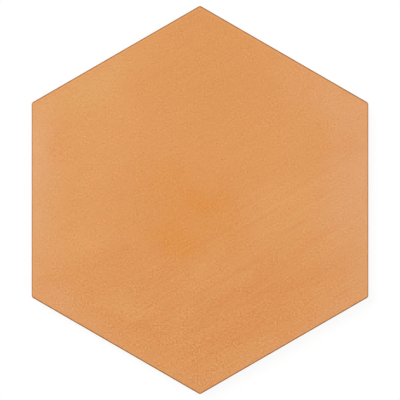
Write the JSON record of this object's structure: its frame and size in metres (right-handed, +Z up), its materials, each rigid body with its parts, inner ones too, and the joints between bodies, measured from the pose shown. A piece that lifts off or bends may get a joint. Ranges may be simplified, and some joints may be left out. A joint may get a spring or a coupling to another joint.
{
  "type": "hexagonal porcelain tile",
  "caption": "Plain hexagonal porcelain floor and wall tile with a matt light-orange glazed face, an eased edge and a honeycomb-keyed back.",
  "frame": {"origin": "centre of the hexagon, on the bedding plane that the rib tops and the margin of the back lie in", "axes": "+Z up out of the glazed wearing face; +Y towards one corner, so two corners lie on Y; +X square to one of the sides"},
  "size_m": [0.175, 0.2016, 0.009],
  "materials": {
    "glazed_porcelain": "matte"
  },
  "bodies": {
    "root": {"tile": "glazed_porcelain"}
  },
  "joints": []
}
